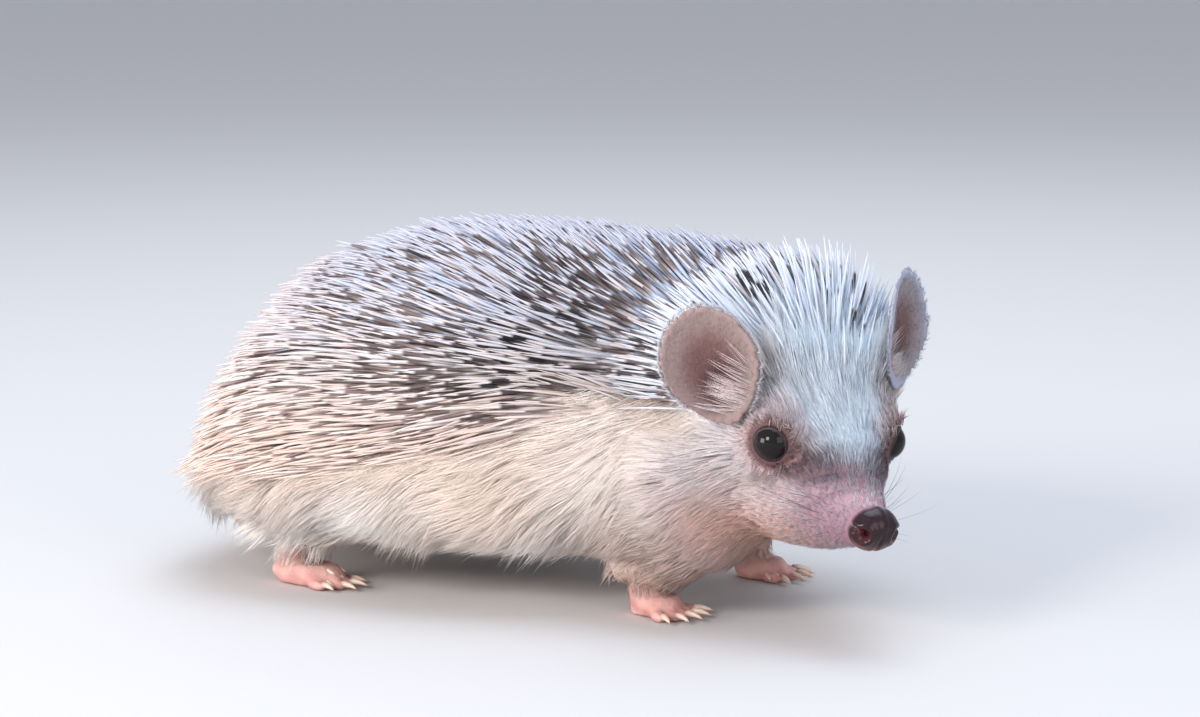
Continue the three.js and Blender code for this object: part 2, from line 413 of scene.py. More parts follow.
def coat_colour(points):
    """The fur's colour: cream on the flanks, white on the forehead with painted cool light, and taupe
    beneath, darkened under the chest by painted shade.
    """
    ahead, aside, above, away = on_head(points)
    face = faceness(points)
    x, _, z = points.T
    # The coat under the chest and front legs is darkened to taupe: painted shade beneath the body.
    under = fade(z, 27, 12) * fade(x, 8, 28)
    colour = layered(
        mix(tone(248, 240, 235), tone(243, 226, 214), 0.5 + 0.5 * ruffle(points, 30, 9)),
        rump=((232, 204, 186), 0.35 * fade(x, -62, -84)),
        face=((242, 234, 237), face),
        # The forehead's blue-white is painted cool light, kept to the middle of the forehead.
        forehead=((234, 243, 254), fade(away, 44, 34) * fade(above, 1, 6) * fade(aside, 15, 6)),
        chest=((190, 160, 148), 0.8 * under),
        cheek=((226, 202, 198), 0.8 * face * fade(above, -5, -11) * fade(ahead, -7, 0)),
        throat=((202, 160, 145), fade(away, 44, 20) * fade(above, -11, -21)),
        muzzle=((178, 157, 167), face * fade(ahead, 5, 13) * fade(above, 3, -1)),
        # The furrows on the snout are darker: painted shade in the creases.
        furrows=((112, 96, 112), 0.85 * furrows(points)),
        round_eye=((196, 164, 162), 0.65 * eye_rim(points, 5, 10.5)),
        eye_rim=((132, 96, 94), 0.8 * eye_rim(points, 4.4, 6.4)),
    )
    dusk = mix(tone(74, 46, 54), tone(110, 92, 110), fade(ahead, 5, 12))
    return mix(colour, dusk, mask(points))


def skin_colour(points):
    """The skin's colour: bare on the muzzle and feet, and hidden by the roots of the fur elsewhere, where
    it is darkened by painted shade under the coat.
    """
    ahead, _, above, _ = on_head(points)
    face = faceness(points)
    colour = layered(
        mix(tone(176, 140, 130), tone(208, 196, 194), quilled(points)),
        face=((158, 128, 138), face),
        muzzle=((144, 113, 125), face * fade(ahead, 9, 17) * fade(above, 2, -4)),
        chin=((160, 124, 114), face * fade(above, -8, -13)),
        mask=((86, 58, 66), mask(points)),
    )
    furred = (1 - quilled(points)) * fade(points[:, 2], 6, 10) * (1 - face * fade(ahead, 2, 9))
    # Under the fur the skin takes the coat's colour, darkened to 0.78: painted shade beneath the coat.
    shaded_under_fur = mix(coat_colour(points) * 0.78, tone(184, 146, 144), 0.15 + 0.4 * face)
    return layered(
        mix(colour, shaded_under_fur, furred),
        eye_rim=((90, 61, 62), 0.95 * eye_rim(points, 4.3, 6.2)),
        # The furrows on the snout are darker: painted shade in the creases.
        furrows=((98, 82, 98), furrows(points)),
        whisker_bed=((112, 76, 82), 0.7 * near(both_sides(to_head(points)), (18.5, 3, -6), 4.5)),
    )


# The skin's mesh is made finer over the head, and finest ahead of the eyes and round them.
made = shell_of("skin", TORSO, swell=SKIN_SWELL, voxel=1.3, rounds=4)
for finer, behind in enumerate((-16, 1)):
    middles = np.array([f.calc_center_median() for f in made.faces]) / MM
    ahead, aside, above, away = on_head(middles)
    chosen = (ahead > behind) & (away < 36)
    if finer:
        chosen |= (np.abs(aside - 13) < 6) & (np.abs(ahead) < 7) & (np.abs(above) < 6)
    made.faces.ensure_lookup_table()
    edges = list(dict.fromkeys(e for i in np.flatnonzero(chosen) for e in made.faces[i].edges))
    bmesh.ops.subdivide_edges(made, edges=edges, cuts=1, use_grid_fill=True, smooth=0.3)
bmesh.ops.triangulate(made, faces=[f for f in made.faces if len(f.verts) > 4])

# The tight folds under the jaw and between the neck and the right shoulder are smoothed out.
JAW_FOLD = from_head([(1, -8, -21), (1, -15, -20), (-5, -22, -17), (-14, -27, -10)])
SHOULDER_FOLD = [(22, -27, 62), (24, -31, 55), (25, -34, 48), (26, -36, 41), (25, -38, 33)]
before = np.array([v.co for v in made.verts])
off_fold = [np.linalg.norm(before / MM - spot, axis=1) for spot in np.vstack([JAW_FOLD, SHOULDER_FOLD])]
off_fold = np.min(off_fold, axis=0)
in_fold = np.flatnonzero(off_fold < 17)
made.verts.ensure_lookup_table()
soften(made, [made.verts[i] for i in in_fold], 50)
for i in in_fold:
    made.verts[i].co = Vector(before[i]).lerp(made.verts[i].co, fade(off_fold[i], 14, 5))

# The skin sinks by the coat's depth, closes round the back of the nose pad, and takes its mouth and brows.
mesh = mesh_of("skin", made)
points, outward = coordinates(mesh), normals_of(mesh)
depth = coat_depth(points) + SKIN_SWELL
points = points - outward * depth[:, None]
h = to_head(points)
folded = both_sides(h)
rim = fade(h[:, 0], 13, 18.5)
nose_axis = to_head(NOSE[None])[0] * (0, 1, 1)
h += (nose_axis - h) * (0, 1, 1) * (0.13 * rim)[:, None]
h[:, 0] += rim * (2.3 + 0.2 * (h[:, 2] - nose_axis[2]))
points = from_head(h)
ahead, above = h[:, 0], h[:, 2]
mouth = fade(np.abs(above + 12.2 + 0.02 * (ahead - 8) ** 2), 0.9, 0)
mouth = mouth * fade(ahead, -1, 3) * fade(ahead, 21, 18)
whisker_pad = near(folded, (14.5, 5.5, -6), 6)
brow = near(folded, (1.5, 11, 5.5), 5)
bumps = 0.5 * whisker_pad + 0.4 * brow - 0.7 * mouth * (above < 0) - 0.4 * furrows(points)
points += outward * bumps[:, None]
for side, sign in SIDES:
    gaze, above, out = off_eye(points, side, sign)
    off_axis = np.linalg.norm(out, axis=1)
    seat = SOCKET_RISE - 0.42 * np.maximum(off_axis - SOCKET_REACH, 0)
    lift = np.maximum(seat - above, 0) * fade(off_axis, 8.5, 4.5) * fade(above, -6, -4)
    points += gaze * lift[:, None]
place_vertices(mesh, points)

toe_mesh = mesh_of("toes", shell_of("toes", LEGS_AND_FEET, swell=0.17, voxel=0.45, rounds=3))
toe_points, toe_outward = coordinates(toe_mesh), normals_of(toe_mesh)
inset = 0.3 + 0.5 * fade(toe_points[:, 2], 5, 9)
toe_points -= toe_outward * inset[:, None]
toe_points[:, 2] = np.maximum(toe_points[:, 2], 0.02)
place_vertices(toe_mesh, toe_points)
joined = bmesh.new()
joined.from_mesh(mesh)
joined.from_mesh(toe_mesh)
joined.to_mesh(mesh)
joined.free()
bpy.data.meshes.remove(toe_mesh)

points = coordinates(mesh)
sole = fade(points[:, 2], 6, 1.5)
blush = np.clip(0.5 + 0.5 * ruffle(points, 3.5, 43), 0, 1)
sole_colour = mix(tone(206, 160, 152), tone(184, 128, 122), blush)
set_tint(mesh, mix(skin_colour(points), sole_colour, sole))
skin = new_object(mesh, painted("skin", 900, 0.5, roughness=0.62, specular=0.3, subsurface=0.12))
finish_piece(skin, "face_fur", *TORSO, *LEGS_AND_FEET)


# ---- Quills ----
# Stiff hollow hairs just under a millimetre thick, cream-white, many with a blue-black or brown band below
# a white point. They lie back over one another and fan from behind the ears.
QUILLS, QUILL_SPACING = 8100, 1.05
QUILL_LENGTHS, QUILL_RADII = (15, 19), (0.33, 0.43)
QUILL_SHAPE = (0.6, 0.9, 1.0, 0.98, 0.86, 0.72, 0.3)
BACK_LIFT, CROWN_LIFT, STEEPEST_LIFT = 17, 15, math.radians(48)
EAR_CLEARANCE, EAR_THICKNESS = 0.8, 1.6

# Roots are drawn on the skin's triangles. Each keeps its skin normal and its place on an unwrap of the
# skin: once around the body, and along it from nose to rump.
skin.data.calc_loop_triangles()
SKIN_CORNERS = read(skin.data.loop_triangles, "vertices", np.int32)
SKIN_POINTS, SKIN_NORMALS = coordinates(skin.data), normals_of(skin.data)
a, b, c = (SKIN_POINTS[SKIN_CORNERS[:, i]] for i in range(3))
TRIANGLE_MIDDLE = (a + b + c) / 3
TRIANGLE_AREA = np.linalg.norm(np.cross(b - a, c - a), axis=1) / 2
TRIANGLE_FACING = unit(np.cross(b - a, c - a))
HEAD_SPINE = [from_head(place) for place in ((26, 0, -2), (0, 0, -3), (-24, 0, -2))]
SPINE = np.array(HEAD_SPINE + [(24, 0, 40), (-10, 0, 34), (-60, 0, 30), (-90, 0, 28)])


def unwrap(points):
    """A place on the flat skin: around the body, then along it."""
    starts, ends = SPINE[:-1], SPINE[1:]
    lengths = np.linalg.norm(ends - starts, axis=1)
    run = np.concatenate([[0], np.cumsum(lengths)])
    along = ((points[:, None] - starts) * (ends - starts)).sum(2) / lengths**2
    along = np.clip(along, 0, 1)
    feet = starts + (ends - starts) * along[..., None]
    gap = np.linalg.norm(points[:, None] - feet, axis=2)
    best = gap.argmin(1)
    rows = np.arange(len(points))
    axis = unit(ends - starts)[best]
    across = unit(np.cross([0, 0, 1], axis))
    spoke = points - feet[rows, best]
    around = np.arctan2((spoke * across).sum(1), (spoke * np.cross(axis, across)).sum(1))
    down = (run[best] + along[rows, best] * lengths[best]) / run[-1]
    return np.column_stack([0.02 + 0.95 * (around / (2 * math.pi) + 0.5), 0.02 + 0.93 * down])


def around_eyes(points):
    """How clear of the eyes a place is, 0 to 1, and the way the hair there leans round them."""
    clear, push = np.ones(len(points)), np.zeros_like(points)
    for side, sign in SIDES:
        _, above, out = off_eye(points, side, sign)
        off_axis = np.linalg.norm(out, axis=1)
        clear *= np.where(above > -4, fade(off_axis, SOCKET_REACH, 4.7), 1)
        push += unit(out) * (fade(off_axis, 9, 4.2) * fade(above, -8, -2))[:, None]
    return clear, push


def roots(density, count, rng, spacing=0.0):
    """Draws up to count roots where density, 0 to 1, allows: places and skin normals."""
    weight = TRIANGLE_AREA * density(TRIANGLE_MIDDLE, TRIANGLE_FACING) * around_eyes(TRIANGLE_MIDDLE)[0]
    draws = count * 4 if spacing else count
    picked = rng.choice(len(weight), draws, p=weight / weight.sum())
    share = rng.random((draws, 2))
    over = share.sum(1) > 1
    share[over] = 1 - share[over]
    share = np.column_stack([1 - share.sum(1), share])
    ids = SKIN_CORNERS[picked]
    place = (SKIN_POINTS[ids] * share[..., None]).sum(1)
    normal = unit((SKIN_NORMALS[ids] * share[..., None]).sum(1))
    if not spacing:
        return place, normal
    steps = [(x, y, z) for x in (-1, 0, 1) for y in (-1, 0, 1) for z in (-1, 0, 1)]
    taken, kept = {}, []
    for i, cell in enumerate(map(tuple, np.floor(place / spacing).astype(int))):
        beside = [taken.get((cell[0] + x, cell[1] + y, cell[2] + z)) for x, y, z in steps]
        if all(j is None or ((place[i] - place[j]) ** 2).sum() > spacing**2 for j in beside):
            taken[cell] = i
            kept.append(i)
            if len(kept) == count:
                break
    return place[kept], normal[kept]


def along_skin(heading, normal):
    """A direction laid flat on the skin."""
    return unit(heading - (heading * normal).sum(1)[:, None] * normal)


def raised(heading, normal, lift):
    """A direction on the skin, lifted off it by an angle."""
    return heading * np.cos(lift)[:, None] + normal * np.sin(lift)[:, None]


def lie(points, normals, sag):
    """The way the coat lies: back from the nose, over the body, and down by its sag."""
    h = to_head(points)
    source = np.zeros_like(h)
    source[:, 0] = np.clip(h[:, 0] + 11, 4, 26)
    source[:, 2] = -3
    away = unit(points - from_head(source))
    back = np.array([-1.0, 0, 0])
    far = fade(np.linalg.norm(points - HEAD_ORIGIN, axis=1), 40, 120)
    flow = mix(away, back, 0.7 * far) + 1.7 * around_eyes(points)[1]
    flow[:, 2] -= sag
    return along_skin(flow, normals)


def swayed(rng, root, normal, sag, sway, scale, seed, stray):
    """The coat's lie with broad waves over it, and each strand a little astray."""
    heading = lie(root, normal, sag)
    heading += sway * ruffle(root, scale, seed)[:, None] * np.cross(normal, heading)
    return along_skin(unit(heading + rng.normal(0, stray, root.shape)), normal)


skin_tree = KDTree(len(SKIN_POINTS))
for i, spot in enumerate(SKIN_POINTS):
    skin_tree.insert(spot, i)
skin_tree.balance()


def clear_of_skin(root, normal, heading, length, lift, settle):
    """Lifts the strands that would run into the skin where it rises ahead of them."""
    lift = lift.copy()
    for share in (0.5, 1.0, 1.0):
        start, end = raised(heading, normal, lift), raised(heading, normal, lift * settle)
        run = length * share
        spot = root + (start * (1 - share / 2) + end * share / 2) * run[:, None]
        nearest = np.array([skin_tree.find(v)[1] for v in spot])
        height = ((spot - SKIN_POINTS[nearest]) * SKIN_NORMALS[nearest]).sum(1)
        short = np.maximum(0.4 + 0.06 * run - height, 0)
        lift = np.minimum(lift + 1.4 * short / np.maximum(run, 1), np.maximum(lift, STEEPEST_LIFT))
    return lift


def kept_in(rng, root, normal, heading, length, lift):
    """Shortens the strands whose tips would stand out of the model's own box."""
    low, high = np.array([np.array(v) for v in bounds_at_load]) / MM
    way = raised(heading, normal, lift)
    slack = rng.uniform(-1.2, 0.8, (len(root), 1))
    room = np.where(way > 0, high + slack - root, low - slack - root)
    most = np.min(np.abs(room) / np.maximum(np.abs(way), 1e-6), axis=1)
    return np.minimum(length, np.maximum(most, 0.5 * length))


# Each strand has a patch of the flat skin at its root, a little longer than wide to hold its bands.
PATCH, PATCH_STRETCH = 0.003, 2.5
ROOT_SINK, LOWEST, HAIR_SETTLE, QUILL_SETTLE = 0.35, 0.15, 0.3, 0.7


def strands(name, surface, root, normal, heading, length, radius, lift, shape, tints, uv,
            sides=3, droop=0.0, stops=None, settle=HAIR_SETTLE):
    """Many tapering strands as one mesh. stops are each ring's share of the length, shape its thickness
    and tints its colour. lift is the angle off the skin at the root, and settle its share at the tip."""
    count, rings = len(root), len(shape)
    if stops is None:
        stops = np.tile(np.linspace(0, 1, rings + 1)[:-1], (count, 1))
    stops = np.column_stack([stops, np.ones(count)])
    lift, length, radius, droop = (np.broadcast_to(v, count) for v in (lift, length, radius, droop))
    start = raised(heading, normal, lift)
    end = unit(raised(heading, normal, lift * settle) + np.array([0, 0, -1.0]) * droop[:, None])
    t = stops[..., None]
    spine = (start[:, None] * (t - t * t / 2) + end[:, None] * t * t / 2) * length[:, None, None]
    spine += (root - normal * np.minimum(ROOT_SINK, 0.06 * length)[:, None])[:, None]
    side = unit(np.cross(start, normal))
    rise = unit(np.cross(side, start))
    turn = np.arange(sides) * 2 * math.pi / sides
    around = np.cos(turn)[:, None] * side[:, None] + np.sin(turn)[:, None] * rise[:, None]
    thick = np.asarray(shape) * radius[:, None]
    body = spine[:, :-1, None] + around[:, None] * thick[..., None, None]
    points = np.concatenate([body.reshape(count, -1, 3), spine[:, -1:]], 1)
    points[..., 2] = np.maximum(points[..., 2], LOWEST)

    # The faces of one strand, from root to tip: walls between its rings, the tip, and the cap of the root.
    per = rings * sides + 1
    here = np.arange(sides)
    ahead = (here + 1) % sides
    strip = np.column_stack([here, here + sides, ahead + sides, ahead])
    quads = np.concatenate([strip + ring * sides for ring in range(rings - 1)])
    last = (rings - 1) * sides
    tips = np.column_stack([last + here, np.full(sides, per - 1), last + ahead])
    shift = (np.arange(count) * per)[:, None, None]
    loops = [(part[None] + shift).reshape(count, -1) for part in (quads, tips, here[None])]
    loops = np.concatenate(loops, 1)
    sizes = np.concatenate([np.full(len(quads), 4), np.full(len(tips), 3), [sides]])
    totals = np.tile(sizes, count)
    begins = np.concatenate([[0], np.cumsum(totals)[:-1]])
    mesh = bpy.data.meshes.new(name)
    mesh.vertices.add(count * per)
    store(mesh.vertices, "co", points * MM)
    mesh.loops.add(loops.size)
    store(mesh.loops, "vertex_index", loops, np.int32)
    mesh.polygons.add(len(totals))
    store(mesh.polygons, "loop_start", begins, np.int32)
    store(mesh.polygons, "loop_total", totals, np.int32)
    mesh.update(calc_edges=True)

    # The strand's patch is cut into one column to a side and one row to a ring.
    one, two = here / sides, (here + 1) / sides
    wall = np.column_stack([one, one, two, two]).ravel()
    tip = np.column_stack([one, (one + two) / 2, two]).ravel()
    across = np.concatenate([wall] * (rings - 1) + [tip, one])
    ring_of = np.minimum(loops[0] // sides, rings)
    place = np.empty((count, len(across), 2))
    place[..., 0] = uv[:, None, 0] + PATCH * across
    place[..., 1] = uv[:, None, 1] + PATCH * PATCH_STRETCH * stops[:, ring_of]
    place[:, -sides:, 1] -= PATCH * 0.2 * (here % 2)
    store(mesh.uv_layers.new(name="OFBake").data, "uv", place)
    colours = np.repeat(tints[:, :-1], sides, axis=1)
    set_tint(mesh, np.concatenate([colours, tints[:, -1:]], 1).reshape(-1, 3))
    return new_object(mesh, surface)


rng = np.random.default_rng(11)
quill_surface = painted("quill", roughness=0.42, specular=0.35)
root, normal = roots(
    lambda p, n: quilled(p) ** 1.5 * (n[:, 2] > -0.35), QUILLS, rng, spacing=QUILL_SPACING
)
ahead, _, _, away = on_head(root)
count = len(root)
crown = fade(ahead, -36, -14) * fade(away, 46, 34)
steep = fade(np.abs(normal[:, 2]), 0.85, 0.35)
rear = fade(root[:, 0], -20, -75)
low = fade(root[:, 2], 53, 32)
edge_of_coat = 1 - quilled(root)
heading = swayed(rng, root, normal, 0.1 + 0.26 * steep, 0.16, 60, 5, 0.075)
length = rng.uniform(*QUILL_LENGTHS, count) * (1 - 0.1 * crown)
lift = BACK_LIFT + CROWN_LIFT * crown + 4 * ruffle(root, 34, 6) + rng.normal(0, 3.2, count)
lift = np.radians(lift)

white = mix(tone(218, 214, 216), tone(198, 188, 184), rng.random(count))
cream = mix(mix(tone(226, 210, 200), tone(210, 182, 168), rng.random(count)), white, crown)
# The blue laid on the top of the back and on the crown is painted cool light from above.
white = layered(
    white,
    back=((164, 178, 202), 0.85 * fade(root[:, 2], 44, 64) * (1 - crown)),
    rump=((194, 184, 188), 0.6 * rear),
    crown=((208, 224, 242), 0.85 * crown),
)
white = mix(white, cream, np.clip(0.75 * low + 0.35 * rear * (rng.random(count) < 0.5), 0, 1))
behind_ear = near(both_sides(root), (18, 33, 52), 30) * (1 - crown)
dark = mix(tone(24, 22, 30), tone(90, 76, 78), rng.random(count) ** 1.6)
paler = 0.4 + 0.35 * rear + 0.6 * low + 0.3 * edge_of_coat - 0.6 * np.maximum(behind_ear, crown)
dark = mix(dark, tone(146, 126, 120), np.clip(paler, 0, 0.8))

# A quill has a dark band where its own draw passes what its place asks for.
patches = mix(ruffle(root, 15, 7)[:, None] * 0.4, ruffle(root, 11, 12)[:, None] * 1.5, crown)[:, 0]
dusky = patches + (0.9 - 0.5 * crown) * rng.normal(0, 1, count)
high = fade(root[:, 2], 56, 70) * (1 - crown)
hairline = 2 * fade(ahead, -20, -10) * crown
seldom = -0.2 + 0.95 * crown + 0.25 * rear + 0.75 * low - 0.1 * high + 1.2 * edge_of_coat + hairline
banded = dusky > seldom - 0.45 * behind_ear
middle = 0.56 + 0.05 * ruffle(root, 25, 8) + rng.normal(0, 0.03, count) - 0.1 * crown
half = rng.uniform(0.09, 0.17, count) * (1 - 0.3 * rear)
stops = np.column_stack([
    np.zeros(count), middle - half - 0.06, middle - half, middle, middle + half, middle + half + 0.05,
    np.full(count, 0.92),
])
faint = mix(white, cream, (rng.random(count) < 0.35) * 0.6)
band = np.where(banded[:, None], dark, faint)
edge = mix(band, cream, np.where(banded, 0.25 + 0.2 * rear, 0.0))
point = mix(white, cream, 0.25 + 0.35 * rear)
# The two rings at the root are darker: painted shade low in the coat.
tints = np.stack([white * 0.8, white * 0.95, edge, band, band, point, point, point], 1)
thick = rng.uniform(*QUILL_RADII, count) * (1 - 0.08 * crown) * (1 - 0.5 * edge_of_coat)
lift = clear_of_skin(root, normal, heading, length, lift, QUILL_SETTLE)
length = kept_in(rng, root, normal, heading, length, lift)

# Quills that would run through an ear are left out.
crossing = np.zeros(count, bool)
way = raised(heading, normal, lift)
for side, sign in SIDES:
    middle_ear, ear_axes, ear_size = leaf_frame(side, sign)
    for reached in (0.0, 0.3, 0.5, 0.7, 0.85, 1.0):
        spot = (root + way * (length * reached)[:, None] - middle_ear) @ ear_axes.T
        inside = ((spot[:, 1:] / (ear_size[1:] + EAR_CLEARANCE)) ** 2).sum(1) < 1
        crossing |= inside & (np.abs(spot[:, 0]) < EAR_THICKNESS)
uv = unwrap(root)
along = np.argsort(root[:, 0], kind="stable")
parts_of = np.array_split(along[~crossing[along]], 4)
for name, chosen in zip(("quills_rump", "quills_loins", "quills_shoulders", "quills_crown"), parts_of):
    piece = strands(
        name, quill_surface, root[chosen], normal[chosen], heading[chosen], length[chosen], thick[chosen],
        lift[chosen], QUILL_SHAPE, tints[chosen], uv[chosen], sides=5, stops=stops[chosen],
        settle=QUILL_SETTLE,
    )
    finish_piece(piece, "quilled_coat")


# ---- Fur ----
# Soft fine hair: long and cream-white on the skirt and cheeks, dense and white on the forehead, painted
# blue
# # there as cool light, with stiffer bristles along the hairline, short and thin on the snout, taupe under
# the
# # throat and on the legs, darker under the chest with painted shade.
# It grows in small tufts that lean together.
fur_surface = painted("fur", roughness=0.6, specular=0.18, sheen=0.1)
BRIGHTEST = 0.92


def tufted(rng, root, normal, heading, per_tuft, spread, clump):
    """Splits tufts into hairs: their roots, normals and headings, and the way each leans to its tuft."""
    side = unit(np.cross(normal, heading))
    offset = rng.normal(0, 1, (len(root), per_tuft, 2)) * spread
    shift = offset[..., :1] * side[:, None] + offset[..., 1:] * heading[:, None]
    lean = -shift.reshape(-1, 3) * clump
    hairs = (root[:, None] + shift).reshape(-1, 3)
    return hairs, np.repeat(normal, per_tuft, 0), np.repeat(heading, per_tuft, 0), lean


def fur(name, seed, tufts, per_tuft, where, length, radius, lift, sag, spread=0.5, clump=0.6,
        droop=0.0, dim=0.88, variety=0.07):
    """One piece of the coat: tufts where the hair grows, each of a few hairs that lean together."""
    rng = np.random.default_rng(seed)
    root, normal = roots(where, tufts, rng)
    heading = swayed(rng, root, normal, sag, 0.28, 24, seed, 0.07)
    reach = length(root) * rng.uniform(0.72, 1.15, len(root))
    reach *= 1 - 0.65 * np.minimum(np.linalg.norm(around_eyes(root)[1], axis=1), 1)
    angle = lift(root) * (1 + 0.3 * ruffle(root, 14, seed + 100)) * rng.uniform(0.85, 1.15, len(root))
    angle = clear_of_skin(root, normal, heading, reach, np.radians(angle), HAIR_SETTLE)
    reach = kept_in(rng, root, normal, heading, reach, angle)
    uv = np.repeat(unwrap(root), per_tuft, 0)
    shade = rng.uniform(1 - variety, 1.04, len(root))[:, None]
    # Each hair's root is darker than its point by dim: painted shade low in the coat.
    base = np.clip(coat_colour(root) * shade, 0, BRIGHTEST) * dim
    point = np.clip(coat_colour(root + heading * (0.8 * reach)[:, None]) * shade, 0, BRIGHTEST)
    root, normal, heading, lean = tufted(rng, root, normal, heading, per_tuft, spread, clump)
    many = len(root)
    reach = np.repeat(reach, per_tuft) * rng.uniform(0.8, 1.1, many)
    angle = np.repeat(angle, per_tuft) * rng.uniform(0.85, 1.15, many)
    heading = unit(heading + lean / np.maximum(reach, 1)[:, None])
    base, point = np.repeat(base, per_tuft, 0), np.repeat(point, per_tuft, 0)
    tints = np.stack([mix(base, point, np.full(many, along)) for along in (0, 0.5, 1)], 1)
    thick = radius * rng.uniform(0.8, 1.2, many)
    piece = strands(
        name, fur_surface, root, normal, heading, reach, thick, angle, (1, 0.5), tints, uv, droop=droop
    )
    finish_piece(piece, "face_fur")


def level(amount):
    """The same amount everywhere."""
    return lambda p: np.full(len(p), float(amount))


def growing(least, more, start, end):
    """An amount that grows by more from one place along the head to another."""
    return lambda p: least + more * fade(on_head(p)[0], start, end)


def skirt_between(low_x, high_x):
    def where(p, n):
        inside = fade(p[:, 0], low_x - 1, low_x + 1) * fade(p[:, 0], high_x + 1, high_x - 1)
        shown = 0.3 + 0.7 * (n[:, 2] > -0.75)
        off_limbs = (p[:, 2] > 5) * (1 - limbs(p))
        return inside * (1 - quilled(p)) ** 0.6 * (1 - faceness(p)) * shown * off_limbs

    return where


def skirt_length(p):
    return 8 + 6 * fade(p[:, 2], 8, 20) - 4.5 * fade(p[:, 0], 8, 30)


for name, seed, low_x, high_x in (
    ("skirt_rump", 21, -90, -36), ("skirt_flank", 22, -36, 6), ("skirt_chest", 23, 6, 65),
):
    fur(
        name, seed, 2720, 5, skirt_between(low_x, high_x), skirt_length, 0.115, level(13), 0.6, spread=0.75,
        clump=0.75, droop=0.12, dim=0.98,
    )


def forehead_where(p, n):
    ahead, _, above, _ = on_head(p)
    return faceness(p) * (1 - 0.6 * quilled(p)) * fade(above, 1, 5) * fade(ahead, 14, 8)


def forehead_length(p):
    ahead, aside, _, _ = on_head(p)
    return (3.6 + 10.5 * fade(ahead, 9, -6)) * (1 - 0.4 * fade(aside, 8, 14))


def forehead_lift(p):
    ahead, aside, _, _ = on_head(p)
    return 15 + 17 * fade(ahead, 6, -7) * fade(aside, 13, 7)


def hairline_where(p, n):
    ahead, _, above, away = on_head(p)
    border = quilled(p) * (1 - quilled(p))
    return border * fade(above, 3, 8) * fade(ahead, -24, -18) * fade(away, 42, 34)


def cheek_where(p, n):
    ahead, _, above, _ = on_head(p)
    return faceness(p) * (1 - quilled(p)) * fade(above, 5, 1) * fade(ahead, 8, 1)


def neck_where(p, n):
    face = faceness(p)
    return 4 * face * (1 - face) * (1 - quilled(p)) * fade(on_head(p)[2], 12, 6)


def snout_where(p, n):
    ahead = on_head(p)[0]
    return faceness(p) * fade(ahead, 2, 7) * fade(ahead, 21.5, 19)


def leg_where(p, n):
    return limbs(p) * fade(p[:, 2], 4.2, 6)


fur(
    "forehead_fur", 31, 3150, 5, forehead_where, forehead_length, 0.115, forehead_lift, -0.05,
    clump=0.9, dim=0.9, variety=0.36,
)
fur(
    "hairline_bristles", 37, 620, 3, hairline_where, level(11.5), 0.16, level(27), -0.05,
    clump=0.5, dim=0.9, variety=0.3,
)
fur(
    "cheek_fur", 32, 3000, 5, cheek_where, growing(3, 6, 4, -9), 0.09, growing(13, 4, 0, -10), 0.12,
    clump=0.65, variety=0.24,
)
fur(
    "neck_fur", 36, 1500, 5, neck_where, level(9.5), 0.105, level(15), 0.3, spread=0.6, clump=0.7,
    variety=0.14,
)
fur(
    "snout_fur", 33, 2300, 4, snout_where, growing(1.2, 1.8, 18, 4), 0.045, level(15), 0.05,
    spread=0.25, clump=0.2,
)
fur("leg_fur", 34, 1150, 4, leg_where, level(2.6), 0.06, level(14), 4, spread=0.3, clump=0.3)

